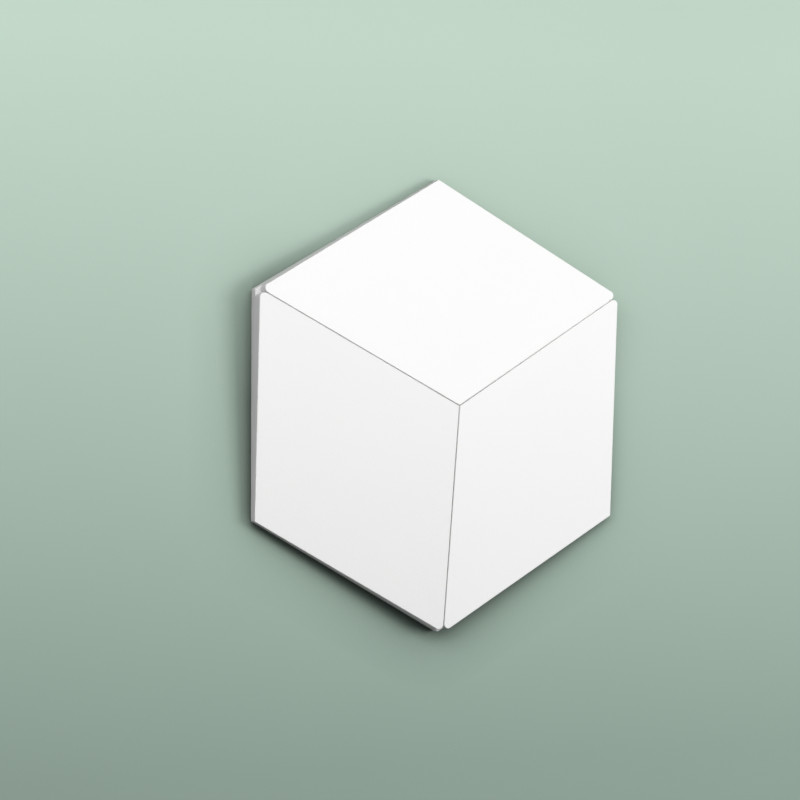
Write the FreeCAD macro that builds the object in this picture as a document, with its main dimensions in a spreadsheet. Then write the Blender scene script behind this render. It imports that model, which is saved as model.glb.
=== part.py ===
"""Hexagonal relief wall tile, cast in one piece from white rigid polyurethane.

Three flat leaves slope down from a raised peak to the rim. The peak stands a little to the right of the
tile's centre, so the three leaves differ in slope. Each leaf ends in two tips, where a seam meets a corner
of the tile at middling height, and in an outer corner that is lowest. A narrow seam parts each leaf from
the next. The tips are rounded in plan, so a small notch opens over every second corner of the tile, down
to a ledge.

Frame, in millimetres: the flat back lies on z = 0, +Z points out of the wall, the origin is under the
centre of the hexagon, and +Y points at its upper corner.
"""

import FreeCAD, Part
import math
import os

import Sketcher
from FreeCAD import Vector

TILE_NAME = "hexagonal_wall_tile"

# Leaves and seams, both anticlockwise from the top: each seam comes just before the leaf at its place
LEAVES = ("upper", "left", "right")
SEAMS = ("upper_right", "upper_left", "lower")

# Driving sizes: alias, value in millimetres, and what it measures
SIZES = (
    ("side_length", 190.0, "one side of the hexagon, and its centre to a corner"),
    ("peak_height", 32.0, "peak above the back"),
    ("peak_offset", 9.2, "peak to the right of the centre"),
    ("seam_end_height", 20.5, "the three corners where a seam ends"),
    ("notch_floor_height", 9.0, "ledge left under the rounded tips"),
    ("tip_radius", 4.0, "rounding of a leaf's tip in plan"),
    ("tip_overrun", 0.1, "how far a tip's circle reaches past the rim"),
    ("seam_width", 1.0, "slot between two leaves"),
    ("seam_depth", 2.2, "slot below the peak"),
    ("edge_radius", 0.5, "softened edge round each leaf's top"),
    ("cut_clearance", 10.0, "how far the cuts run past the tile"),
)

doc = FreeCAD.newDocument("wall_tile")
sheet = doc.addObject("Spreadsheet::Sheet", "sizes")
for row, (alias, value, meaning) in enumerate(SIZES, start=1):
    sheet.set(f"A{row}", meaning)
    sheet.set(f"B{row}", str(value))
    sheet.setAlias(f"B{row}", alias)
doc.recompute()

# Places that follow from the driving sizes
HALF_SIDE = "sizes.side_length / 2"
BLOCK_TOP = "sizes.peak_height + sizes.cut_clearance"
CUT_TOP = f"{BLOCK_TOP} + sizes.cut_clearance"
CUT_REACH = "(sizes.side_length + sizes.peak_offset + sizes.cut_clearance)"
LEAF_DROP = "(sizes.peak_height - sizes.seam_end_height)"
SLOT_HALF = "sizes.seam_width / 2"
TIP_ACROSS = f"({SLOT_HALF} + sizes.tip_radius)"
LEAF_TURN = f"(360 deg / {len(LEAVES)})"
RIM_ANGLE = "60 deg"
CUBIC_MM_PER_LITRE = 1e6


def number(expression):
    """Value of an expression in the driving sizes, as a plain number."""
    value = sheet.evalExpression(expression.replace("sizes.", ""))
    return getattr(value, "Value", value)


def leaf_direction(index):
    """Direction in which a leaf falls, from +X: straight up the tile for the first."""
    return f"(90 deg + {index} * {LEAF_TURN})"


def seam_corner(index):
    """Direction from the tile's centre to the corner where a seam ends."""
    return f"({leaf_direction(index)} - {LEAF_TURN} / 2)"


def seam_legs(corner):
    """Seam's vector across and along the line from the tile's centre to the seam's corner."""
    return (
        f"sizes.peak_offset * sin({corner})",
        f"sizes.side_length - sizes.peak_offset * cos({corner})",
    )


def seam_lean(corner):
    """Angle by which a seam leans off the line from the tile's centre to the seam's corner."""
    return "atan2({}; {})".format(*seam_legs(corner))


def tip_inward(rim_angle):
    """How far inside the corner a tip's arc leaves the slot, for the angle between the slot and the rim."""
    from_rim = "sizes.tip_radius - sizes.tip_overrun"
    return f"(({from_rim} + {TIP_ACROSS} * cos({rim_angle})) / sin({rim_angle}))"


def origin_part(role):
    """Plane of the body's own origin."""
    return next(part for part in body.Origin.OriginFeatures if part.Role == role)


def new_sketch(name, plane):
    """Empty sketch on one of the body's planes."""
    sketch = body.newObject("Sketcher::SketchObject", name)
    sketch.AttachmentSupport = (origin_part(plane), "")
    sketch.MapMode = "FlatFace"
    return sketch


def upright_sketch(name, direction):
    """Empty sketch on an upright plane through the peak, drawn outward in one direction and upward."""
    sketch = new_sketch(name, "XZ_Plane")
    turn = FreeCAD.Rotation(Vector(0, 1, 0), number(direction))
    sketch.AttachmentOffset = FreeCAD.Placement(Vector(), turn)
    sketch.setExpression("AttachmentOffset.Rotation.Angle", direction)
    sketch.setExpression("AttachmentOffset.Base.x", "sizes.peak_offset")
    return sketch


def bind(sketch, name, constraint, expression):
    """Add a constraint whose value follows an expression in the driving sizes."""
    index = sketch.addConstraint(Sketcher.Constraint(*constraint, number(expression)))
    sketch.renameConstraint(index, name)
    sketch.setExpression(f"Constraints.{name}", expression)


def arc_between(start, finish, radius):
    """Anticlockwise arc of less than half a turn between two points."""
    half_chord = (finish - start) / 2
    chord_to_centre = math.sqrt(radius ** 2 - half_chord.Length ** 2)
    inward = Vector(-half_chord.y, half_chord.x, 0).normalize()
    centre = start + half_chord + inward * chord_to_centre
    angles = [math.atan2((end - centre).y, (end - centre).x) for end in (start, finish)]
    return Part.ArcOfCircle(Part.Circle(centre, Vector(0, 0, 1), radius), *angles)


def draw_outline(sketch, corners):
    """Closed outline through named corners.

    Each corner has two expressions for its place, and a third for a radius where an arc starts there.
    """
    points = [Vector(number(first), number(second), 0) for _, first, second, *_ in corners]
    followers = points[1:] + points[:1]
    edges = []
    for start, finish, (_, _, _, *radius) in zip(points, followers, corners):
        curve = arc_between(start, finish, number(*radius)) if radius else Part.LineSegment(start, finish)
        edges.append(sketch.addGeometry(curve, False))
    for edge, (name, first, second, *radius) in zip(edges, corners):
        sketch.addConstraint(Sketcher.Constraint("Coincident", edges[edge - 1], 2, edge, 1))
        bind(sketch, f"{name}_first", ("DistanceX", -1, 1, edge, 1), first)
        bind(sketch, f"{name}_second", ("DistanceY", -1, 1, edge, 1), second)
        if radius:
            bind(sketch, f"{name}_radius", ("Radius", edge), *radius)


def cut(feature):
    """Recompute with a new cut, stop if it took nothing away, and return it."""
    before = body.Shape.Volume
    body.Tip = feature
    doc.recompute()
    if feature.Shape.Volume >= before:
        raise RuntimeError(f"{feature.Name} removes no material")
    return feature


def hexagon_corner(name, direction):
    """Corner of the hexagon in one direction from the centre."""
    return (name, f"sizes.side_length * cos({direction})", f"sizes.side_length * sin({direction})")


def notch_corner(name, corner, place, side):
    """Corner of a notch, at a place measured outward along its seam and across it, to the left by default."""
    outward, across = place
    turn = f"({corner} + {seam_lean(corner)})"
    _, corner_first, corner_second = hexagon_corner(name, corner)
    return (
        name,
        f"{corner_first} + ({outward}) * cos({turn}) - ({side}{across}) * sin({turn})",
        f"{corner_second} + ({outward}) * sin({turn}) + ({side}{across}) * cos({turn})",
    )


def tip_ends(rim_angle):
    """Where a tip's arc ends, past the rim and at the slot, outward and across from the corner."""
    past_rim = (
        f"sizes.tip_radius * sin({rim_angle}) - {tip_inward(rim_angle)}",
        f"({TIP_ACROSS} + sizes.tip_radius * cos({rim_angle}))",
    )
    at_slot = (f"-{tip_inward(rim_angle)}", SLOT_HALF)
    return past_rim, at_slot


def cut_notch(name, corner):
    """Cut the notch at a slot's outer end, down to a ledge between two rounded tips."""
    plan = new_sketch(f"{name}_plan", "XY_Plane")
    plan.setExpression("AttachmentOffset.Base.z", "sizes.notch_floor_height")
    right_rim, right_slot = tip_ends(f"({RIM_ANGLE} - {seam_lean(corner)})")
    left_rim, left_slot = tip_ends(f"({RIM_ANGLE} + {seam_lean(corner)})")
    slot_end = (f"-{tip_inward(RIM_ANGLE)} - 2 * sizes.seam_width", SLOT_HALF)
    draw_outline(plan, (
        (*notch_corner("right_rim", corner, right_rim, "-"), "sizes.tip_radius"),
        notch_corner("right_slot", corner, right_slot, "-"),
        notch_corner("right_end", corner, slot_end, "-"),
        notch_corner("left_end", corner, slot_end, ""),
        (*notch_corner("left_slot", corner, left_slot, ""), "sizes.tip_radius"),
        notch_corner("left_rim", corner, left_rim, ""),
        notch_corner("left_outside", corner, ("sizes.cut_clearance", left_rim[1]), ""),
        notch_corner("right_outside", corner, ("sizes.cut_clearance", right_rim[1]), "-"),
    ))
    notch = body.newObject("PartDesign::Pocket", name)
    notch.Profile = plan
    notch.Reversed = True
    notch.setExpression("Length", BLOCK_TOP)
    cut(notch)


def cut_seam(name, corner):
    """Cut the narrow slot between two leaves, from the peak into its notch.

    All three floors fall at one slope, so they meet under the peak without a step.
    """
    end = "(hypot({}; {}) - {} - sizes.seam_width)".format(*seam_legs(corner), tip_inward(RIM_ANGLE))
    fall = f"{LEAF_DROP} / sizes.side_length * {end}"
    profile = upright_sketch(f"{name}_profile", f"{corner} + {seam_lean(corner)}")
    draw_outline(profile, (
        ("floor_peak", "0", "sizes.peak_height - sizes.seam_depth"),
        ("floor_end", end, f"sizes.peak_height - sizes.seam_depth - {fall}"),
        ("open_end", end, CUT_TOP),
        ("open_peak", "0", CUT_TOP),
    ))
    seam = body.newObject("PartDesign::Pocket", name)
    seam.Profile = profile
    seam.Midplane = True
    seam.setExpression("Length", "sizes.seam_width")
    cut(seam)


def cut_leaf(name, direction):
    """Cut away all that lies over one leaf's plane, which meets the peak and two ends of seams."""
    run = f"({HALF_SIDE} - sizes.peak_offset * cos({direction}))"
    slope = f"({LEAF_DROP} / {run})"
    profile = upright_sketch(f"over_{name}", direction)
    draw_outline(profile, (
        ("behind_peak", "-sizes.cut_clearance", f"sizes.peak_height + {slope} * sizes.cut_clearance"),
        ("past_rim", CUT_REACH, f"sizes.peak_height - {slope} * {CUT_REACH}"),
        ("over_rim", CUT_REACH, CUT_TOP),
        ("over_peak", "-sizes.cut_clearance", CUT_TOP),
    ))
    leaf = body.newObject("PartDesign::Pocket", name)
    leaf.Profile = profile
    leaf.Midplane = True
    leaf.setExpression("Length", f"2 * {CUT_REACH}")
    return cut(leaf)


def leaf_top(shape, direction):
    """Top face of the leaf that falls in one direction: of all that look up, it leans furthest that way."""
    angle = math.radians(number(direction))
    outward = Vector(math.cos(angle), math.sin(angle), 0)
    flats = [face for face in shape.Faces if isinstance(face.Surface, Part.Plane)]
    return max(
        (face for face in flats if face.normalAt(0, 0).z > 0),
        key=lambda face: face.Area * face.normalAt(0, 0).dot(outward),
    )


def soften_edges(name, base, direction):
    """Round the edge that runs about one leaf's top, as a mould leaves it."""
    sides = leaf_top(base.Shape, direction).Edges
    softened = body.newObject("PartDesign::Fillet", name)
    softened.Base = (base, [
        f"Edge{index}" for index, edge in enumerate(base.Shape.Edges, start=1)
        if any(edge.isSame(side) for side in sides)
    ])
    softened.setExpression("Radius", "sizes.edge_radius")
    return cut(softened)


body = doc.addObject("PartDesign::Body", TILE_NAME)
body.Label = TILE_NAME

# The block that holds the tile: an upright hexagonal prism, higher than the peak
outline = new_sketch("outline", "XY_Plane")
draw_outline(outline, [
    hexagon_corner(name, direction)
    for index, (seam_name, leaf_name) in enumerate(zip(SEAMS, LEAVES))
    for name, direction in ((seam_name, seam_corner(index)), (leaf_name, leaf_direction(index)))
])
block = body.newObject("PartDesign::Pad", "block")
block.Profile = outline
block.setExpression("Length", BLOCK_TOP)
doc.recompute()

# Notches and seams are cut while the block is still plain, and the leaves' tops after them
for index, seam_name in enumerate(SEAMS):
    cut_notch(f"{seam_name}_notch", seam_corner(index))
for index, seam_name in enumerate(SEAMS):
    cut_seam(f"{seam_name}_seam", seam_corner(index))
for index, leaf_name in enumerate(LEAVES):
    last_feature = cut_leaf(f"{leaf_name}_leaf", leaf_direction(index))
for index, leaf_name in enumerate(LEAVES):
    last_feature = soften_edges(f"{leaf_name}_soft_edges", last_feature, leaf_direction(index))

for item in doc.Objects:
    if {"Invalid", "Error"} & set(item.State):
        raise RuntimeError(f"{item.Name} failed: {item.State}")
tile = body.Shape
if tile.isNull() or not tile.isValid() or len(tile.Solids) != 1:
    raise RuntimeError("the tile is not one valid solid")

os.makedirs("parts", exist_ok=True)
tile.exportStep(f"parts/{body.Label}.step")
box = tile.optimalBoundingBox(False)
print(f"{body.Label}: {box.XLength:.2f} x {box.YLength:.2f} x {box.ZLength:.2f} mm,"
      f" {tile.Volume / CUBIC_MM_PER_LITRE:.4f} litres, {len(tile.Faces)} faces")
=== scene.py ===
import logging
import math
from dataclasses import dataclass, field
from enum import Enum
from typing import Iterable, Sequence

import bmesh
import bpy
from mathutils import Matrix, Vector, noise
from mathutils.geometry import delaunay_2d_cdt


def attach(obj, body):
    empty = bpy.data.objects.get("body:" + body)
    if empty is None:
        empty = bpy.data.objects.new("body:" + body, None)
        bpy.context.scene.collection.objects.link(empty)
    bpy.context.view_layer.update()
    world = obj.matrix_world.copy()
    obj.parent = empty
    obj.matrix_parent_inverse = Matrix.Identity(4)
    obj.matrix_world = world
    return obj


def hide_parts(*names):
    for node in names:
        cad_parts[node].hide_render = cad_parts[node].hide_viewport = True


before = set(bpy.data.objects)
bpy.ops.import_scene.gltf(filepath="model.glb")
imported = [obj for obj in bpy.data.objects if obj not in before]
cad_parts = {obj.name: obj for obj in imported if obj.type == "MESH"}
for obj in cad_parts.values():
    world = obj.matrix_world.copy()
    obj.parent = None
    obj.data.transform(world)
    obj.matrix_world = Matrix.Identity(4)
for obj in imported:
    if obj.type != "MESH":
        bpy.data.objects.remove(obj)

LOG = logging.getLogger("wall_tile")
TILE_NODE = "hexagonal_wall_tile"
MM = 0.001
CORNER_TURNS = (-30.0, -15.0, 0.0, 15.0, 30.0)
SIDE_COUNT = 6
KEEP_INSIDE = 1
MERGE_DISTANCE = 1e-5
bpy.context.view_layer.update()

Vertex = bmesh.types.BMVert
Ring = Sequence[Vertex]
Foot = dict[str, Vertex]


class Footing(Enum):
    """What the wall under a stretch of a leaf's edge stands on."""

    SEAM = "the seam's floor"
    NOTCH = "the ledge in the notch"
    RIM = "the tile's back"


class Skin(Enum):
    """Surface of the tile that takes a finish of its own, with its material index."""

    PRIMED = 0
    RAW = 1


def unit(degrees: float) -> Vector:
    """Unit vector in plan at an angle from +X."""
    return Vector((math.cos(math.radians(degrees)), math.sin(math.radians(degrees))))


def left_of(direction: Vector) -> Vector:
    """Direction a quarter turn anticlockwise from a plan direction."""
    return Vector((-direction.y, direction.x))


def spread(start: Vector, end: Vector, spacing: float) -> list[Vector]:
    """Space points evenly from start to end, both included.

    Args:
        start: first point.
        end: last point.
        spacing: longest distance between neighbours, in mm.

    Returns:
        The points in order.
    """
    steps = max(1, math.ceil((end - start).length / spacing))
    return [start.lerp(end, step / steps) for step in range(steps + 1)]


def offset_loop(points: Sequence[Vector], distances: Sequence[float]) -> list[Vector]:
    """Move each point of an anticlockwise loop inward by its own distance, along its two sides' mitre.

    Args:
        points: the loop in plan, anticlockwise.
        distances: how far each point's sides move inward, in mm. Negative moves them outward.

    Returns:
        The moved points, in the same order.
    """
    moved = []
    for index, point in enumerate(points):
        before = left_of((point - points[index - 1]).normalized())
        after = left_of((points[(index + 1) % len(points)] - point).normalized())
        mitre = (before + after) / (1.0 + before.dot(after))
        moved.append(point + mitre * distances[index])
    return moved


def grid_inside(outline: Sequence[Vector], spacing: float) -> list[Vector]:
    """Lay out a triangular grid inside a closed outline.

    Args:
        outline: corners of the outline in plan, in order.
        spacing: distance between neighbours, in mm.

    Returns:
        The points inside.
    """
    lowest = min(point.y for point in outline)
    highest = max(point.y for point in outline)
    rise = spacing * math.sqrt(3.0) / 2.0
    sides = list(zip(outline, list(outline[1:]) + [outline[0]]))
    inside = []
    for row in range(1, int((highest - lowest) / rise) + 1):
        y = lowest + row * rise
        crossings = sorted(
            start.x + (y - start.y) / (end.y - start.y) * (end.x - start.x)
            for start, end in sides if (start.y <= y) != (end.y <= y)
        )
        for enter, leave in zip(crossings[::2], crossings[1::2]):
            shift = (row % 2) * spacing / 2.0
            column = math.ceil((enter - shift) / spacing)
            while column * spacing + shift < leave:
                inside.append(Vector((column * spacing + shift, y)))
                column += 1
    return inside


@dataclass(frozen=True)
class TileSizes:
    """Sizes of the tile in mm, and the heights and places that follow from them.

    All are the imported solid's but corner_radius, which softens the hexagon's corners in plan.
    """

    side: float = 190.0
    peak_height: float = 32.0
    peak_offset: float = 9.2
    seam_end_height: float = 20.5
    ledge_height: float = 9.0
    tip_radius: float = 4.0
    tip_overrun: float = 0.1
    seam_width: float = 1.0
    seam_depth: float = 2.2
    corner_radius: float = 1.2
    leaf_directions: tuple[float, ...] = (90.0, 210.0, 330.0)

    @property
    def drop(self) -> float:
        """Fall of a leaf from the peak to the end of a seam."""
        return self.peak_height - self.seam_end_height

    @property
    def peak(self) -> Vector:
        """Place of the peak in plan."""
        return Vector((self.peak_offset, 0.0))

    @property
    def apothem(self) -> float:
        """Distance from the centre to a side."""
        return self.side * math.cos(math.radians(30))

    def corner(self, degrees: float) -> Vector:
        """Sharp corner of the hexagon in one direction, in plan."""
        return unit(degrees) * self.side

    def rounded_corner(self, degrees: float) -> list[Vector]:
        """Softened corner of the hexagon in one direction, as points in plan, anticlockwise."""
        centre = self.corner(degrees) - unit(degrees) * (self.corner_radius / math.sin(math.radians(60)))
        return [centre + unit(degrees + turn) * self.corner_radius for turn in CORNER_TURNS]

    def leaf_height(self, leaf: int, place: Vector) -> float:
        """Find the height of a leaf's flat top over a place in plan.

        Args:
            leaf: index of the leaf.
            place: point in plan.

        Returns:
            Height above the back, in mm.
        """
        fall = unit(self.leaf_directions[leaf])
        run = self.side / 2.0 - self.peak_offset * fall.x
        return self.peak_height - self.drop / run * fall.dot(place - self.peak)


@dataclass(frozen=True)
class Seam:
    """One narrow slot, from the peak to a corner of the hexagon."""

    sizes: TileSizes
    corner_degrees: float

    @property
    def legs(self) -> Vector:
        """The seam's whole vector in plan, from the peak to its corner."""
        return self.sizes.corner(self.corner_degrees) - self.sizes.peak

    @property
    def axis(self) -> Vector:
        """Unit vector along the seam, outward."""
        return self.legs.normalized()

    @property
    def lean(self) -> float:
        """Angle by which the seam leans off the line from the centre to its corner, in radians."""
        radial = unit(self.corner_degrees)
        return math.atan2(left_of(radial).dot(self.axis), radial.dot(self.axis))

    def tip_inward(self, rim_angle: float) -> float:
        """Find how far inside the corner the tip's circle touches the slot.

        Args:
            rim_angle: angle between the slot and the rim, in radians.

        Returns:
            Distance along the seam from the corner, in mm.
        """
        sizes = self.sizes
        across = sizes.seam_width / 2.0 + sizes.tip_radius
        from_rim = sizes.tip_radius - sizes.tip_overrun
        return (from_rim + across * math.cos(rim_angle)) / math.sin(rim_angle)

    @property
    def slot_end(self) -> float:
        """Distance from the peak at which the shallow slot opens into the deep notch."""
        return self.legs.length - self.tip_inward(math.radians(60)) - 2.0 * self.sizes.seam_width

    def place(self, along: float, across: float) -> Vector:
        """Point in plan at a distance along the seam from the peak and to its left."""
        return self.sizes.peak + self.axis * along + left_of(self.axis) * across

    def floor_height(self, place: Vector) -> float:
        """Height of the seam's floor beside a place in plan."""
        along = self.axis.dot(place - self.sizes.peak)
        return self.sizes.peak_height - self.sizes.seam_depth - self.sizes.drop / self.sizes.side * along

    def slot_wall(self, hand: int, spacing: float) -> list[Vector]:
        """Lay out one slot wall from near the peak to the notch, without the leaf's own corner.

        Args:
            hand: 1 for the wall to the left of the seam, -1 for the one to its right.
            spacing: longest distance between stations, in mm.

        Returns:
            Points in plan, outward. Both walls have theirs at equal distances from the peak.
        """
        across = hand * self.sizes.seam_width / 2.0
        first = self.place(2.0 * self.sizes.seam_width, across)
        return spread(first, self.place(self.slot_end, across), spacing)

    def tip(self, hand: int, steps: int) -> list[Vector]:
        """Draw the rounded tip of the leaf beside the seam, from the slot to the rim.

        Args:
            hand: 1 for the leaf to the left of the seam, -1 for the one to its right.
            steps: number of straight stretches on the arc.

        Returns:
            Points in plan, outward.
        """
        sizes = self.sizes
        rim_angle = math.radians(60) + hand * self.lean
        centre_along = self.legs.length - self.tip_inward(rim_angle)
        centre_across = sizes.seam_width / 2.0 + sizes.tip_radius
        overrun_turn = math.acos(1.0 - sizes.tip_overrun / sizes.tip_radius)
        start, end = -math.pi / 2.0, math.pi / 2.0 - rim_angle - overrun_turn
        angles = [start + (end - start) * step / steps for step in range(steps + 1)]
        return [
            self.place(
                centre_along + sizes.tip_radius * math.cos(angle),
                hand * (centre_across + sizes.tip_radius * math.sin(angle)),
            )
            for angle in angles
        ]


@dataclass
class EdgePoint:
    """Point on a leaf's edge in plan, what the wall from it to the next one stands on, and its seam."""

    place: Vector
    footing: Footing
    seam: Seam



class Mark(Enum):
    """Value from 0 to 1 that the tile's vertices carry for the finishes."""

    ARRIS = "arris"
    RECESS = "recess"
    OVERSPRAY = "overspray"


@dataclass
class TileMesh:
    """Mesh of the tile in the making."""

    bm: bmesh.types.BMesh = field(default_factory=bmesh.new)
    sharp_angle: float = 38.0

    def __post_init__(self) -> None:
        """Add one layer for each mark."""
        self.layers = {mark: self.bm.verts.layers.float.new(mark.value) for mark in Mark}

    def vertex(self, place: Vector, height: float, mark: Mark = Mark.ARRIS, value: float = 0.0) -> Vertex:
        """Add a vertex.

        Args:
            place: point in plan, in mm.
            height: height above the back, in mm.
            mark: the mark that the vertex carries.
            value: how strongly it carries the mark.

        Returns:
            The new vertex.
        """
        made = self.bm.verts.new((place.x * MM, place.y * MM, height * MM))
        made[self.layers[mark]] = value
        return made

    def face(self, corners: Iterable[Vertex], skin: Skin = Skin.PRIMED) -> None:
        """Add a face unless its corners fall together.

        Args:
            corners: the face's vertices in order. One that comes twice counts once.
            skin: finish that the face takes.
        """
        distinct = list(dict.fromkeys(corners))
        if len(distinct) > 2:
            self.bm.faces.new(distinct).material_index = skin.value

    def band(self, first: Ring, second: Ring) -> None:
        """Join two closed rings with quads.

        Args:
            first: vertices of one ring, in order.
            second: vertices of the other ring, one for each of the first.
        """
        for index in range(len(first)):
            follower = (index + 1) % len(first)
            self.face((first[index], second[index], second[follower], first[follower]))

    def fill(self, ring: Ring, inner: Ring, skin: Skin = Skin.PRIMED) -> None:
        """Cover the inside of a closed ring with well-shaped triangles.

        Args:
            ring: vertices of the ring, in order.
            inner: vertices inside the ring, in any order.
            skin: finish that the faces take.
        """
        known = [*ring, *inner]
        plan = [vertex.co.xy / MM for vertex in known]
        loop = [(index, (index + 1) % len(ring)) for index in range(len(ring))]
        _, _, faces, origins, _, _ = delaunay_2d_cdt(plan, loop, [], KEEP_INSIDE, MERGE_DISTANCE)
        for corners in faces:
            self.face((known[origins[corner][0]] for corner in corners), skin)

    def finish(self, name: str) -> bpy.types.Mesh:
        """Turn the faces outward, mark the sharp edges and hand over the mesh.

        Args:
            name: name of the new mesh.

        Returns:
            The finished mesh.
        """
        bmesh.ops.recalc_face_normals(self.bm, faces=self.bm.faces[:])
        bmesh.ops.triangulate(self.bm, faces=[face for face in self.bm.faces if len(face.verts) > 4])
        mesh = bpy.data.meshes.new(name)
        self.bm.to_mesh(mesh)
        self.bm.free()
        mesh.shade_smooth()
        mesh.set_sharp_from_angle(angle=math.radians(self.sharp_angle))
        return mesh


@dataclass
class Leaf:
    """One of the three flat leaves: its edge in plan, softened arris and hollow top.

    Attributes:
        seams: the seams on its right and left, seen from the peak.
        clearance: gap between the arris and the top's grid, as a share of the spacing.
        peak_easing: distance from the peak over which peak_arris turns into the other radii.
        arris_wander: how far the arris radius wanders.
        support: width of the flat strip on both sides of the arris.
        sink_reach: distance from the edge at which the top is fully sunk.
        ripple_share: share of the sink that varies over the top.
    """

    sizes: TileSizes
    index: int
    seams: tuple[Seam, Seam]
    spacing: float = 3.0
    clearance: float = 0.6
    tip_steps: int = 14
    rim_arris: float = 0.5
    seam_arris: float = 0.25
    peak_arris: float = 0.55
    peak_easing: float = 6.0
    arris_wander: float = 0.05
    wander_length: float = 17.0
    arris_steps: int = 6
    support: float = 0.35
    sink: float = 0.12
    sink_reach: float = 40.0
    ripple_share: float = 0.4
    ripple_length: float = 38.0

    def __post_init__(self) -> None:
        """Lay out the leaf's edge."""
        self.edge = self.draw_edge()

    def apex(self) -> Vector:
        """Find the corner of the leaf beside the peak, where its two slot walls meet.

        Returns:
            The corner, in plan.
        """
        first, second = (seam.axis for seam in self.seams)
        sine = first.cross(second)
        return self.sizes.peak + (first + second) * (self.sizes.seam_width / 2.0 / sine)

    def draw_edge(self) -> list[EdgePoint]:
        """Draw the edge of the leaf in plan, anticlockwise from its corner beside the peak.

        Returns:
            Its points.
        """
        first, second = self.seams
        edge = [EdgePoint(self.apex(), Footing.SEAM, first)]
        edge += [EdgePoint(place, Footing.SEAM, first) for place in first.slot_wall(1, self.spacing)]
        edge[-1].footing = Footing.NOTCH
        edge += [EdgePoint(place, Footing.NOTCH, first) for place in first.tip(1, self.tip_steps)]
        edge[-1].footing = Footing.RIM
        corner = self.sizes.rounded_corner(self.sizes.leaf_directions[self.index])
        last_tip = second.tip(-1, self.tip_steps)
        rim = spread(edge[-1].place, corner[0], self.spacing)[1:] + corner[1:-1]
        edge += [EdgePoint(place, Footing.RIM, first) for place in rim]
        rim = spread(corner[-1], last_tip[-1], self.spacing)[:-1]
        edge += [EdgePoint(place, Footing.RIM, second) for place in rim]
        edge += [EdgePoint(place, Footing.NOTCH, second) for place in reversed(last_tip)]
        inward = second.slot_wall(-1, self.spacing)[::-1]
        edge += [EdgePoint(place, Footing.SEAM, second) for place in inward]
        return edge

    def flat_height(self, place: Vector) -> float:
        """Height of the leaf's flat top over a place in plan."""
        return self.sizes.leaf_height(self.index, place)

    def radius_at(self, point: EdgePoint) -> float:
        """Find the arris radius at a point of the edge.

        Args:
            point: the point.

        Returns:
            The radius in mm, smaller along a seam than on the rim and at the peak, and wandering a little.
        """
        from_peak = (point.place - self.sizes.peak).length - self.sizes.seam_width
        eased = min(1.0, max(0.0, from_peak / self.peak_easing))
        wanted = self.seam_arris if point.footing is Footing.SEAM else self.rim_arris
        wander = self.arris_wander * noise.noise(point.place.to_3d() / self.wander_length)
        return self.peak_arris + (wanted - self.peak_arris + wander) * eased

    def hollow_at(self, place: Vector) -> float:
        """Find how far the leaf's top sank at a place when the casting shrank.

        Args:
            place: point in plan.

        Returns:
            Depth under the flat leaf in mm, none at its edge.
        """
        peak, first, second = self.sizes.peak, *self.seams
        rims = [unit(self.sizes.leaf_directions[self.index] + turn) for turn in (-30, 30)]
        inward = min(
            left_of(first.axis).dot(place - peak),
            -left_of(second.axis).dot(place - peak),
            *(self.sizes.apothem - rim.dot(place) for rim in rims),
        )
        share = min(1.0, max(0.0, inward / self.sink_reach))
        eased = share * share * (3.0 - 2.0 * share)
        ripple = 0.5 + 0.5 * noise.noise(place.to_3d() / self.ripple_length)
        return self.sink * eased * (1.0 - self.ripple_share + self.ripple_share * ripple)

    def build_top(self, tile: TileMesh) -> list[Ring]:
        """Build the hollow top and the rounded arris round it.

        Args:
            tile: mesh that takes the vertices and faces.

        Returns:
            The rings of vertices on the arris and wall, from the top down.
        """
        plan = [point.place for point in self.edge]
        radii = [self.radius_at(point) for point in self.edge]
        rings = []
        inner = offset_loop(plan, [radius + self.support for radius in radii])
        rings.append([tile.vertex(place, self.flat_height(place)) for place in inner])
        for step in range(self.arris_steps + 1):
            turn = math.pi / 2.0 * step / self.arris_steps
            places = offset_loop(plan, [radius * (1.0 - math.sin(turn)) for radius in radii])
            rings.append([
                tile.vertex(place, self.flat_height(place) - radius * (1.0 - math.cos(turn)), Mark.ARRIS, 1.0)
                for place, radius in zip(places, radii)
            ])
        rings.append([
            tile.vertex(place, self.flat_height(place) - radius - self.support)
            for place, radius in zip(plan, radii)
        ])
        for upper, lower in zip(rings, rings[1:]):
            tile.band(upper, lower)
        self.cover_top(tile, inner, rings[0])
        return rings

    def cover_top(self, tile: TileMesh, inner: Sequence[Vector], ring: Ring) -> None:
        """Cover the leaf's top inside its arris.

        Args:
            tile: mesh that takes the faces.
            inner: the innermost ring in plan.
            ring: the same ring's vertices.
        """
        margin = offset_loop(inner, [self.clearance * self.spacing] * len(inner))
        grid = grid_inside(margin, self.spacing)
        made = [tile.vertex(place, self.flat_height(place) - self.hollow_at(place)) for place in grid]
        tile.fill(ring, made)


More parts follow.
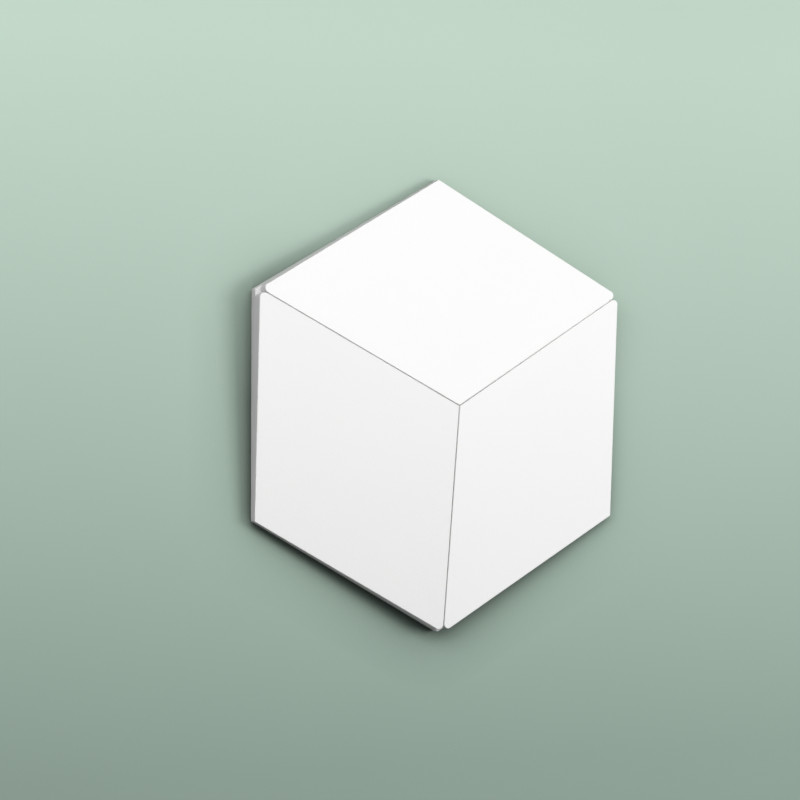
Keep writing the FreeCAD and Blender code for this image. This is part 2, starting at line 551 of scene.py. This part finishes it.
@dataclass
class WallTile:
    """The cast tile: three leaves over one body, with seams, notches, sides and back.

    Attributes:
        seam_root: radius of the rounded root along a seam's floor.
        back_arris: radius of the arris round the back.
        back_support: width of the flat strip inside it.
        back_clearance: gap between that strip and the back's grid, as a share of the spacing.
        overspray_reach: how far from the rim primer drifted onto the back.
        root_recess: how much dust and painted shade darken a seam's root, from 0 to 1. The other recesses are
            the same for
        the root's bend, the seam's floor, a notch's ledge and the ledge's outer corner.
    """

    sizes: TileSizes = TileSizes()
    mesh: TileMesh = field(default_factory=TileMesh)
    seam_directions: tuple[float, ...] = (30.0, 150.0, 270.0)
    seam_root: float = 0.3
    back_arris: float = 0.9
    back_arris_steps: int = 5
    back_support: float = 0.2
    back_spacing: float = 6.0
    back_clearance: float = 0.5
    overspray_reach: float = 14.0
    root_recess: float = 0.6
    bend_recess: float = 0.9
    floor_recess: float = 1.0
    ledge_recess: float = 0.5
    corner_recess: float = 0.2

    def __post_init__(self) -> None:
        """Lay out the seams and leaves."""
        self.seams = [Seam(self.sizes, degrees) for degrees in self.seam_directions]
        count = len(self.seams)
        self.leaves = [
            Leaf(self.sizes, index, (self.seams[index], self.seams[(index + 1) % count]))
            for index in range(count)
        ]

    def build(self) -> bpy.types.Object:
        """Build the tile's closed mesh and give it its place in the frame.

        Returns:
            The tile, riding on the frame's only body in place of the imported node.
        """
        feet = [self.build_leaf(leaf) for leaf in self.leaves]
        corners = [self.build_seam(index, feet) for index in range(len(self.seams))]
        self.mesh.face([leaf[0]["floor"] for leaf in feet])
        self.build_back(feet, corners)
        piece = bpy.data.objects.new("cast_tile", self.mesh.finish("cast_tile"))
        bpy.context.collection.objects.link(piece)
        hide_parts(TILE_NODE)
        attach(piece, "root")
        return piece

    def build_leaf(self, leaf: Leaf) -> list[Foot]:
        """Build one leaf and the walls under its edge.

        Args:
            leaf: the leaf.

        Returns:
            For each point of the leaf's edge, its vertices by name where the wall has them: root, bend and
            floor at a seam, ledge in a notch and rim over the back.
        """
        wall = leaf.build_top(self.mesh)[-1]
        feet = self.stand_feet(leaf)
        for index, point in enumerate(leaf.edge):
            follower = (index + 1) % len(feet)
            near, far = feet[index], feet[follower]
            if point.footing is Footing.SEAM:
                self.mesh.face((wall[index], wall[follower], far["root"], near["root"]))
                self.mesh.face((near["root"], far["root"], far["bend"], near["bend"]))
                self.mesh.face((near["bend"], far["bend"], far["floor"], near["floor"]))
                continue
            passed, reached = ("root", "ledge") if point.footing is Footing.NOTCH else ("ledge", "rim")
            after = [far[passed]] if passed in far else []
            before = [near[passed]] if passed in near else []
            self.mesh.face([wall[index], wall[follower], *after, far[reached], near[reached], *before])
        return feet

    def stand_feet(self, leaf: Leaf) -> list[Foot]:
        """Add the vertices at the foot of a leaf's walls.

        Args:
            leaf: the leaf.

        Returns:
            The vertices of each edge point, by name.
        """
        plan = [point.place for point in leaf.edge]
        bend = self.seam_root * (1.0 - math.sqrt(0.5))
        rows = {
            "root": (plan, self.seam_root, self.root_recess),
            "bend": (offset_loop(plan, [-bend] * len(plan)), bend, self.bend_recess),
            "floor": (offset_loop(plan, [-self.seam_root] * len(plan)), 0.0, self.floor_recess),
        }
        feet = []
        for index, point in enumerate(leaf.edge):
            footings = {point.footing, leaf.edge[index - 1].footing}
            foot = {}
            if Footing.SEAM in footings:
                for name, (places, lift, recess) in rows.items():
                    height = point.seam.floor_height(places[index]) + lift
                    foot[name] = self.mesh.vertex(places[index], height, Mark.RECESS, recess)
            if Footing.NOTCH in footings:
                height = self.sizes.ledge_height
                foot["ledge"] = self.mesh.vertex(point.place, height, Mark.RECESS, self.ledge_recess)
            if Footing.RIM in footings:
                foot["rim"] = self.mesh.vertex(point.place, self.back_arris)
            feet.append(foot)
        return feet

    def build_seam(self, index: int, feet: list[list[Foot]]) -> list[Foot]:
        """Build a seam's floor, the step down into its notch, the ledge and the corner under it.

        Args:
            index: the seam's place among the seams.
            feet: the feet of all leaves' walls.

        Returns:
            The ledge and rim vertices round the tile's corner, anticlockwise.
        """
        left, right = feet[index], feet[index - 1]
        right = [right[0]] + right[:0:-1]
        slot = [pair for pair in zip(left, right) if "floor" in pair[0] and "floor" in pair[1]]
        slot = slot[:next(place for place, pair in enumerate(slot) if "ledge" in pair[0]) + 1]
        for (left_near, right_near), (left_far, right_far) in zip(slot, slot[1:]):
            self.mesh.face((left_near["floor"], right_near["floor"], right_far["floor"], left_far["floor"]))
        names = ("ledge", "root", "bend", "floor")
        left_end, right_end = slot[-1]
        self.mesh.face([left_end[name] for name in names] + [right_end[name] for name in reversed(names)])

        corner = self.corner_posts(self.seam_directions[index])
        left_notch = self.notch_run(left, len(slot) - 1)
        right_notch = self.notch_run(right, len(slot) - 1)
        self.mesh.face(foot["ledge"] for foot in right_notch + corner + left_notch[::-1])
        posts = [right_notch[-1], *corner, left_notch[-1]]
        for near, far in zip(posts, posts[1:]):
            self.mesh.face((near["ledge"], far["ledge"], far["rim"], near["rim"]))
        return corner

    def notch_run(self, feet: Sequence[Foot], start: int) -> list[Foot]:
        """Feet of one side of a notch, from the end of the slot out to the rim."""
        end = next(place for place in range(start, len(feet)) if "rim" in feet[place])
        return list(feet[start:end + 1])

    def corner_posts(self, degrees: float) -> list[Foot]:
        """Add the vertices of the upright corner under a ledge, slightly rounded in plan.

        Args:
            degrees: direction of the corner from the centre.

        Returns:
            The ledge and rim vertices, anticlockwise.
        """
        return [
            {
                "ledge": self.mesh.vertex(place, self.sizes.ledge_height, Mark.RECESS, self.corner_recess),
                "rim": self.mesh.vertex(place, self.back_arris),
            }
            for place in self.sizes.rounded_corner(degrees)
        ]

    def build_back(self, feet: list[list[Foot]], corners: list[list[Foot]]) -> None:
        """Build the softened arris round the back, and the flat back.

        Args:
            feet: the feet of all leaves' walls.
            corners: the posts of the corners under the ledges, one list a seam.
        """
        ring = []
        for index, leaf in enumerate(feet):
            ring += [foot["rim"] for foot in leaf if "rim" in foot]
            ring += [post["rim"] for post in corners[(index + 1) % len(corners)]]
        plan = [vertex.co.xy / MM for vertex in ring]
        for step in range(1, self.back_arris_steps + 1):
            turn = math.pi / 2.0 * step / self.back_arris_steps
            inset = self.back_arris * (1.0 - math.cos(turn))
            places = offset_loop(plan, [inset] * len(plan))
            height = self.back_arris * (1.0 - math.sin(turn))
            lower = [self.mesh.vertex(place, height, Mark.OVERSPRAY, 1.0) for place in places]
            self.mesh.band(ring, lower)
            ring = lower
        inner = offset_loop(plan, [self.back_arris + self.back_support] * len(plan))
        support = [self.mesh.vertex(place, 0.0, Mark.OVERSPRAY, 1.0) for place in inner]
        self.mesh.band(ring, support)
        margin = offset_loop(inner, [self.back_clearance * self.back_spacing] * len(inner))
        grid = grid_inside(margin, self.back_spacing)
        made = [self.mesh.vertex(place, 0.0, Mark.OVERSPRAY, self.overspray_at(place)) for place in grid]
        self.mesh.fill(support, made, Skin.RAW)

    def overspray_at(self, place: Vector) -> float:
        """Find how much primer drifted onto the back at a place.

        Args:
            place: point in plan.

        Returns:
            1 at the rim and 0 far inside it.
        """
        sides = [unit(360.0 / SIDE_COUNT * side) for side in range(SIDE_COUNT)]
        inward = self.sizes.apothem - max(side.dot(place) for side in sides)
        return max(0.0, 1.0 - inward / self.overspray_reach)


Plug = bpy.types.NodeSocket | float | tuple[float, ...]
Span = tuple[float, float]
Tone = tuple[float, float, float, float]
WHOLE: Span = (0.0, 1.0)
BLACK: Tone = (0.0, 0.0, 0.0, 1.0)
MIX_SHARE, MIX_FIRST, MIX_SECOND, MIX_COLOUR = 0, 6, 7, 2


@dataclass
class NodeBench:
    """A node tree in the making."""

    tree: bpy.types.NodeTree

    def plug_in(self, node: bpy.types.Node, plugs: dict[str | int, Plug]) -> None:
        """Set or join a node's inputs.

        Args:
            node: the node.
            plugs: value or incoming socket of each input.
        """
        for socket, plug in plugs.items():
            if isinstance(plug, bpy.types.NodeSocket):
                self.tree.links.new(plug, node.inputs[socket])
            else:
                node.inputs[socket].default_value = plug

    def add(self, kind: str, plugs: dict[str | int, Plug] | None = None,
            **settings: str | bool) -> bpy.types.Node:
        """Add a node, set it up and join it.

        Args:
            kind: type of the node, without its ShaderNode prefix.
            plugs: value or incoming socket of each input.
            settings: the node's own settings.

        Returns:
            The new node.
        """
        node = self.tree.nodes.new("ShaderNode" + kind)
        node.location = (200.0 * len(self.tree.nodes), 0.0)
        for name, value in settings.items():
            setattr(node, name, value)
        self.plug_in(node, plugs or {})
        return node

    def noise(self, scale: Plug, detail: float, roughness: float = 0.5, place: Plug | None = None) -> Plug:
        """Add noise over the object's own coordinates, or over another place.

        Args:
            scale: how fine it is.
            detail: how many finer layers it has.
            roughness: how strong each finer layer is.
            place: coordinates to use instead of the object's own.

        Returns:
            The noise, between 0 and 1.
        """
        place = place or self.place()
        plugs = {"Vector": place, "Scale": scale, "Detail": detail, "Roughness": roughness}
        return self.add("TexNoise", plugs).outputs["Fac"]

    def math(self, operation: str, first: Plug, second: Plug = 0.0, clamp: bool = False) -> Plug:
        """Result of one sum on two values."""
        return self.add("Math", {0: first, 1: second}, operation=operation, use_clamp=clamp).outputs[0]

    def remap(self, value: Plug, span: Span, target: Span = WHOLE) -> Plug:
        """Carry a value from one span to another and hold it inside it.

        Args:
            value: value to carry over.
            span: lowest and highest value that comes in.
            target: what they become.

        Returns:
            The carried value.
        """
        (low, high), (new_low, new_high) = span, target
        plugs = {"Value": value, "From Min": low, "From Max": high, "To Min": new_low, "To Max": new_high}
        return self.add("MapRange", plugs).outputs["Result"]

    def blend(self, share: Plug, first: Plug, second: Plug) -> Plug:
        """Colour between two colours, the second where the share is 1."""
        plugs = {MIX_SHARE: share, MIX_FIRST: first, MIX_SECOND: second}
        return self.add("Mix", plugs, data_type="RGBA").outputs[MIX_COLOUR]

    def marked(self, mark: Mark) -> Plug:
        """Value of a mark that the tile's mesh carries."""
        return self.add("Attribute", attribute_name=mark.value).outputs["Fac"]

    def place(self) -> Plug:
        """Place on the object, in its own coordinates."""
        return self.add("TexCoord").outputs["Object"]

    def upward(self, place: Plug) -> Plug:
        """Share of a place along the frame's Y axis, which points up in the photograph."""
        return self.add("SeparateXYZ", {"Vector": place}).outputs["Y"]

    def relief(self, height: Plug, depth: float) -> Plug:
        """Normals that show a height as relief of a given depth in metres."""
        return self.add("Bump", {"Height": height, "Strength": 1.0, "Distance": depth}).outputs["Normal"]

    def seen(self) -> Plug:
        """Tell where the surface is seen from where it only lights other surfaces.

        Returns:
            1 where it is seen straight, in a mirror or through glass, and 0 elsewhere.
        """
        ray = self.add("LightPath").outputs
        mirrored = self.math("MAXIMUM", ray["Is Glossy Ray"], ray["Is Transmission Ray"])
        return self.math("MAXIMUM", ray["Is Camera Ray"], mirrored)


@dataclass(frozen=True)
class SharedEffect:
    """Effect that several finishes share: a node group with named values in and one value out."""

    name: str
    inputs: dict[str, float]
    output: str

    def open(self) -> tuple[NodeBench, bpy.types.Node]:
        """Start the group.

        Returns:
            The bench to build on, and the node that holds the group's inputs.
        """
        tree = bpy.data.node_groups.new(self.name, "ShaderNodeTree")
        for name, value in self.inputs.items():
            socket = tree.interface.new_socket(name, in_out="INPUT", socket_type="NodeSocketFloat")
            socket.default_value = value
        tree.interface.new_socket(self.output, in_out="OUTPUT", socket_type="NodeSocketFloat")
        return NodeBench(tree), tree.nodes.new("NodeGroupInput")

    def close(self, bench: NodeBench, result: Plug) -> None:
        """Lead the result out of the group."""
        way_out = bench.tree.nodes.new("NodeGroupOutput")
        bench.tree.links.new(result, way_out.inputs[self.output])

    def place(self, bench: NodeBench, **values: float) -> Plug:
        """Place the effect in a material with its own values.

        Args:
            bench: bench of the material.
            values: the group's inputs, with their names in small letters.

        Returns:
            The effect's output.
        """
        node = bench.add("Group")
        node.node_tree = bpy.data.node_groups[self.name]
        bench.plug_in(node, {name.capitalize(): value for name, value in values.items()})
        return node.outputs[self.output]


PEBBLE = SharedEffect("pebbled_coat", {"Scale": 600.0, "Grit": 0.3}, "Height")
MOTTLE = SharedEffect("soft_mottle", {"Scale": 8.0, "Contrast": 1.0}, "Mask")
RUBBED_ARRIS = SharedEffect("rubbed_arris", {"Scale": 60.0, "Coverage": 0.5}, "Mask")
GRIT_FINENESS = 4.3
RUBBED_CRISPNESS = 4.0


def build_shared_effects() -> None:
    """Build each shared node group once."""
    bench, way_in = PEBBLE.open()
    broad = bench.noise(way_in.outputs["Scale"], detail=1.0)
    fine_scale = bench.math("MULTIPLY", way_in.outputs["Scale"], GRIT_FINENESS)
    grit = bench.math("MULTIPLY", bench.noise(fine_scale, detail=3.0, roughness=0.6), way_in.outputs["Grit"])
    PEBBLE.close(bench, bench.math("ADD", broad, grit))

    bench, way_in = MOTTLE.open()
    cloud = bench.noise(way_in.outputs["Scale"], detail=4.0, roughness=0.55)
    centred = bench.math("MULTIPLY", bench.math("SUBTRACT", cloud, 0.5), way_in.outputs["Contrast"])
    MOTTLE.close(bench, bench.math("ADD", centred, 0.5, clamp=True))

    bench, way_in = RUBBED_ARRIS.open()
    patches = bench.noise(way_in.outputs["Scale"], detail=5.0, roughness=0.6)
    reach = bench.math("ADD", bench.math("SUBTRACT", patches, 1.0), way_in.outputs["Coverage"])
    rubbed = bench.math("MULTIPLY", reach, RUBBED_CRISPNESS, clamp=True)
    RUBBED_ARRIS.close(bench, bench.math("MULTIPLY", rubbed, bench.marked(Mark.ARRIS)))


def new_material(name: str) -> tuple[bpy.types.Material, NodeBench, bpy.types.Node]:
    """Start a material.

    Args:
        name: name of the material.

    Returns:
        The material, its bench and its shader.
    """
    material = bpy.data.materials.new(name)
    material.use_nodes = True
    return material, NodeBench(material.node_tree), material.node_tree.nodes["Principled BSDF"]


@dataclass(frozen=True)
class SprayedPrimer:
    """Matte white primer, sprayed on the front and sides: thin on the arrises, with dust and painted shade
    low in the seams.

    Attributes:
        dust_and_shade_span: places along Y, in metres, between which the dust and painted shade in the seams
            fade upward.
        dust_and_shade_amount: how much dust and painted shade lie at both ends of dust_and_shade_span.
        cloud_span: the part of the clouds that thins the dust and painted shade.
        polish: how much smoother the arrises are.
    """

    tone: Tone = (0.862, 0.862, 0.856, 1.0)
    cool_tone: Tone = (0.848, 0.850, 0.847, 1.0)
    thin_tone: Tone = (0.80, 0.785, 0.74, 1.0)
    thin_share: float = 0.5
    dust_and_shade_tone: Tone = (0.30, 0.30, 0.29, 1.0)
    dust_and_shade_span: Span = (-0.05, 0.03)
    dust_and_shade_amount: Span = (1.0, 0.15)
    cloud_span: Span = (0.2, 0.8)
    dust_and_shade_patches: Span = (0.8, 1.0)
    roughness: Span = (0.54, 0.66)
    polish: float = 0.08
    pebble_depth: float = 0.00006
    specular: float = 0.35

    def build(self) -> bpy.types.Material:
        """Build the finish.

        Returns:
            The material.
        """
        material, bench, shader = new_material("sprayed_primer")
        mottle = MOTTLE.place(bench, scale=9.0, contrast=1.4)
        coat = bench.blend(mottle, self.tone, self.cool_tone)
        rubbed = RUBBED_ARRIS.place(bench, scale=70.0, coverage=0.55)
        coat = bench.blend(bench.math("MULTIPLY", rubbed, self.thin_share), coat, self.thin_tone)
        # Dust and painted shade: the seam and notch recesses are darkened, most toward -Y.
        amount = bench.remap(bench.upward(bench.place()), self.dust_and_shade_span, self.dust_and_shade_amount)
        dust_and_shade = bench.math("MULTIPLY", amount, bench.marked(Mark.RECESS))
        dust_and_shade = bench.math("MULTIPLY", dust_and_shade, bench.remap(mottle, self.cloud_span, self.dust_and_shade_patches))
        coat = bench.blend(dust_and_shade, coat, self.dust_and_shade_tone)
        matte = bench.remap(MOTTLE.place(bench, scale=26.0, contrast=1.2), WHOLE, self.roughness)
        matte = bench.math("SUBTRACT", matte, bench.math("MULTIPLY", rubbed, self.polish))
        pebble = PEBBLE.place(bench, scale=620.0, grit=0.35)
        bench.plug_in(shader, {
            "Base Color": coat,
            "Roughness": matte,
            "Normal": bench.relief(pebble, self.pebble_depth),
            "Specular IOR Level": self.specular,
        })
        return material


@dataclass(frozen=True)
class RawCastBack:
    """Unprimed back of the casting: cream foam skin with pinholes darkened by painted shade, sanded one way,
    with a fringe of primer.

    Attributes:
        belt_scale: how fine the scratches are along X, Y and Z. They run along X.
        scratch_span: the part of the noise that shows as scratches.
        pit_span: the part of the noise that sets the pinholes' size.
        pit_size: range of that size, as a share of their spacing.
        fringe_span: the part of the drifting primer that settles.
        scratch_relief: height of the scratches, as a share of relief_depth.
        pit_relief: depth of the pinholes, as a share of relief_depth.
    """

    tone: Tone = (0.74, 0.70, 0.58, 1.0)
    dark_tone: Tone = (0.66, 0.61, 0.48, 1.0)
    primer_tone: Tone = (0.86, 0.86, 0.85, 1.0)
    belt_scale: tuple[float, float, float] = (30.0, 1400.0, 30.0)
    scratch_span: Span = (0.52, 0.72)
    scratch_share: float = 0.35
    pit_shade_tone: Tone = (0.40, 0.35, 0.25, 1.0)
    pit_scale: float = 260.0
    pit_cluster_scale: float = 31.0
    pit_shade_share: float = 0.8
    pit_span: Span = (0.45, 0.75)
    pit_size: Span = (0.02, 0.26)
    fringe_scale: float = 120.0
    fringe_span: Span = (0.35, 0.75)
    scratch_relief: float = 0.5
    pit_relief: float = 1.6
    relief_depth: float = 0.00006
    roughness: Span = (0.70, 0.86)
    specular: float = 0.25

    def build(self) -> bpy.types.Material:
        """Build the finish.

        Returns:
            The material.
        """
        material, bench, shader = new_material("raw_cast_back")
        mottle = MOTTLE.place(bench, scale=14.0, contrast=1.8)
        skin = bench.blend(mottle, self.tone, self.dark_tone)
        place = bench.place()
        along_belt = bench.add("Mapping", {"Vector": place, "Scale": self.belt_scale}).outputs["Vector"]
        scratches = bench.noise(1.0, detail=3.0, roughness=0.6, place=along_belt)
        paled = bench.remap(scratches, self.scratch_span, (0.0, self.scratch_share))
        skin = bench.blend(paled, skin, self.primer_tone)
        cells = bench.add("TexVoronoi", {"Vector": place, "Scale": self.pit_scale})
        clusters = bench.noise(self.pit_cluster_scale, detail=2.0)
        size = bench.remap(clusters, self.pit_span, self.pit_size)
        pits = bench.math("LESS_THAN", cells.outputs["Distance"], size)
        # Painted shade inside the pinholes.
        skin = bench.blend(bench.math("MULTIPLY", pits, self.pit_shade_share), skin, self.pit_shade_tone)
        drift = bench.math("SUBTRACT", bench.noise(self.fringe_scale, detail=5.0, roughness=0.7), 0.5)
        fringe = bench.math("ADD", bench.marked(Mark.OVERSPRAY), drift)
        skin = bench.blend(bench.remap(fringe, self.fringe_span), skin, self.primer_tone)
        raised = bench.math("MULTIPLY", scratches, self.scratch_relief)
        relief = bench.math("SUBTRACT", raised, bench.math("MULTIPLY", pits, self.pit_relief))
        relief = bench.math("ADD", relief, PEBBLE.place(bench, scale=900.0, grit=0.6))
        bench.plug_in(shader, {
            "Base Color": skin,
            "Roughness": bench.remap(mottle, WHOLE, self.roughness),
            "Normal": bench.relief(relief, self.relief_depth),
            "Specular IOR Level": self.specular,
        })
        return material


@dataclass(frozen=True)
class FloorPaint:
    """Flat paint of the plain floor, which throws grey light back at the tile and stays pale far from it.

    Attributes:
        light_falloff_span: places along Y, in metres, between which near_shaded_tone turns into far_lit_tone:
            painted light falloff, darker toward -Y.
        bounce_tone: colour that the floor has for the light it throws back.
        glow_span: distances in metres over which the floor's own light comes in.
        crease_reach: how far the floor is darkened beside the tile, in metres.
        shade_side: direction that the lamps reach least, in degrees from +X.
        shade_span: distances in metres toward that side over which the shade deepens.
        shade_depth: how deep it is at both ends of shade_span.
    """

    near_shaded_tone: Tone = (0.299, 0.394, 0.337, 1.0)
    far_lit_tone: Tone = (0.477, 0.603, 0.511, 1.0)
    light_falloff_span: Span = (-0.30, 0.30)
    bounce_tone: Tone = (0.28, 0.28, 0.28, 1.0)
    glow_tone: Tone = (0.40, 0.51, 0.44, 1.0)
    glow_span: Span = (0.5, 1.7)
    crease_reach: float = 0.055
    shade_side: float = 246.0
    shade_span: Span = (-0.09, 0.07)
    shade_depth: Span = (0.5, 2.1)
    evenness: Span = (0.985, 1.015)
    pebble_depth: float = 0.00003
    roughness: float = 0.85
    specular: float = 0.2

    def crease_shade(self, bench: NodeBench, place: Plug) -> Plug:
        """Darken the floor beside the tile, most where the lamps reach it least.

        Args:
            bench: bench of the paint.
            place: place on the floor.

        Returns:
            1 in the open, and less close to the tile.
        """
        open_air = bench.add("AmbientOcclusion", {"Distance": self.crease_reach}).outputs["AO"]
        plugs = {0: place, 1: unit(self.shade_side).to_3d()}
        toward_shade = bench.add("VectorMath", plugs, operation="DOT_PRODUCT").outputs["Value"]
        return bench.math("POWER", open_air, bench.remap(toward_shade, self.shade_span, self.shade_depth))

    def build(self) -> bpy.types.Material:
        """Build the finish.

        Returns:
            The material.
        """
        material, bench, shader = new_material("floor_paint")
        place = bench.place()
        # Painted light falloff: the paint is darker toward -Y.
        paint = bench.blend(bench.remap(bench.upward(place), self.light_falloff_span), self.near_shaded_tone, self.far_lit_tone)
        mottle = MOTTLE.place(bench, scale=5.0, contrast=1.0)
        evenness = bench.remap(mottle, WHOLE, self.evenness)
        shade = bench.math("MULTIPLY", self.crease_shade(bench, place), evenness)
        paint = bench.add("HueSaturation", {"Color": paint, "Value": shade}).outputs["Color"]
        seen = bench.seen()
        distance = bench.add("VectorMath", {0: place}, operation="LENGTH").outputs["Value"]
        glow = bench.math("MULTIPLY", seen, bench.remap(distance, self.glow_span))
        pebble = PEBBLE.place(bench, scale=420.0, grit=0.4)
        bench.plug_in(shader, {
            "Base Color": bench.blend(seen, self.bounce_tone, paint),
            "Emission Color": bench.blend(glow, BLACK, self.glow_tone),
            "Emission Strength": 1.0,
            "Roughness": self.roughness,
            "Normal": bench.relief(pebble, self.pebble_depth),
            "Specular IOR Level": self.specular,
        })
        return material


@dataclass(frozen=True)
class StudioFloor:
    """Plain pale floor under the tile, square and given by the length of its side in metres."""

    size: float = 60.0

    def build(self) -> bpy.types.Object:
        """Build the floor.

        Returns:
            The floor.
        """
        half = self.size / 2.0
        corners = [(-half, -half, 0.0), (half, -half, 0.0), (half, half, 0.0), (-half, half, 0.0)]
        mesh = bpy.data.meshes.new("floor")
        mesh.from_pydata(corners, [], [(0, 1, 2, 3)])
        mesh.materials.append(FloorPaint().build())
        floor = bpy.data.objects.new("floor", mesh)
        bpy.context.collection.objects.link(floor)
        return floor


@dataclass(frozen=True)
class Softbox:
    """Flat soft lamp over the tile, with lengths and places in metres and its power in watts."""

    name: str
    place: tuple[float, float, float]
    aim: tuple[float, float, float]
    width: float
    height: float
    power: float

    def build(self) -> bpy.types.Object:
        """Build the lamp.

        Returns:
            The lamp.
        """
        data = bpy.data.lights.new(self.name, "AREA")
        data.shape = "RECTANGLE"
        data.size, data.size_y = self.width, self.height
        data.energy = self.power
        lamp = bpy.data.objects.new(self.name, data)
        beam = (Vector(self.aim) - Vector(self.place)).normalized()
        right = beam.cross(Vector((0.0, 1.0, 0.0))).normalized()
        turn = Matrix((right, right.cross(beam), -beam)).transposed()
        lamp.matrix_world = Matrix.Translation(self.place) @ turn.to_4x4()
        lamp.visible_camera = False
        bpy.context.collection.objects.link(lamp)
        return lamp


SOFTBOXES = (
    Softbox(
        name="upper_softbox", place=(-0.294, 0.505, 1.114), aim=(0.321, -0.337, 0.0),
        width=1.903, height=0.556, power=14.4,
    ),
    Softbox(
        name="right_softbox", place=(1.413, 0.062, 1.461), aim=(-0.724, 0.509, 0.0),
        width=0.922, height=0.852, power=23.7,
    ),
)


@dataclass(frozen=True)
class StudioAir:
    """Even light from all round, seen as a pale backdrop beyond the floor."""

    light_tone: Tone = (0.10, 0.10, 0.10, 1.0)
    backdrop_tone: Tone = (0.44, 0.56, 0.485, 1.0)

    def build(self) -> bpy.types.World:
        """Build the world and make it the scene's own.

        Returns:
            The world.
        """
        world = bpy.data.worlds.new("studio_air")
        world.use_nodes = True
        bench = NodeBench(world.node_tree)
        tone = bench.blend(bench.seen(), self.light_tone, self.backdrop_tone)
        bench.plug_in(world.node_tree.nodes["Background"], {"Color": tone, "Strength": 1.0})
        bpy.context.scene.world = world
        return world


@dataclass(frozen=True)
class StudioCamera:
    """Camera that looks down on the tile from the photograph's viewing angle.

    Attributes:
        focal_pixels: focal length, in pixels of a photograph that is image_size wide.
        turn: turn from the frame to the camera, as an axis times an angle in radians.
        shift: the frame's origin in the camera's own axes, in mm.
    """

    focal_pixels: float = 2616.732
    image_size: float = 800.0
    sensor_width: float = 36.0
    turn: tuple[float, float, float] = (0.000266, 0.413057, -0.003069)
    shift: tuple[float, float, float] = (28.594797, -4.695729, -2208.678111)

    def build(self) -> bpy.types.Object:
        """Build the camera and make it the scene's own.

        Returns:
            The camera.
        """
        data = bpy.data.cameras.new("camera")
        data.sensor_width = self.sensor_width
        data.lens = self.focal_pixels / self.image_size * self.sensor_width
        axis = Vector(self.turn)
        world_turn = Matrix.Rotation(axis.length, 3, axis.normalized()).transposed()
        place = world_turn.to_4x4()
        place.translation = world_turn @ (Vector(self.shift) * -MM)
        camera = bpy.data.objects.new("camera", data)
        camera.matrix_world = place
        bpy.context.collection.objects.link(camera)
        bpy.context.scene.camera = camera
        return camera


@dataclass(frozen=True)
class SizeNote:
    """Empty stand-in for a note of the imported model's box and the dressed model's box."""

    def write(self) -> None:
        """Do nothing: no boxes are written."""


def main() -> None:
    """Build the pieces in order, and report the tile, the floor and the lamps."""
    logging.basicConfig(level=logging.INFO, format="%(name)s: %(message)s")
    bpy.context.scene.view_settings.view_transform = "Standard"
    StudioCamera().build()
    build_shared_effects()
    tile = WallTile().build()
    tile.data.materials.append(SprayedPrimer().build())
    tile.data.materials.append(RawCastBack().build())
    LOG.info("%s: %d faces", tile.name, len(tile.data.polygons))
    floor = StudioFloor().build()
    LOG.info("%s: %.1f m wide", floor.name, floor.dimensions.x)
    for softbox in SOFTBOXES:
        lamp = softbox.build()
        LOG.info("%s: %.0f W", lamp.name, lamp.data.energy)
    StudioAir().build()
    SizeNote().write()


if __name__ == "__main__":
    main()
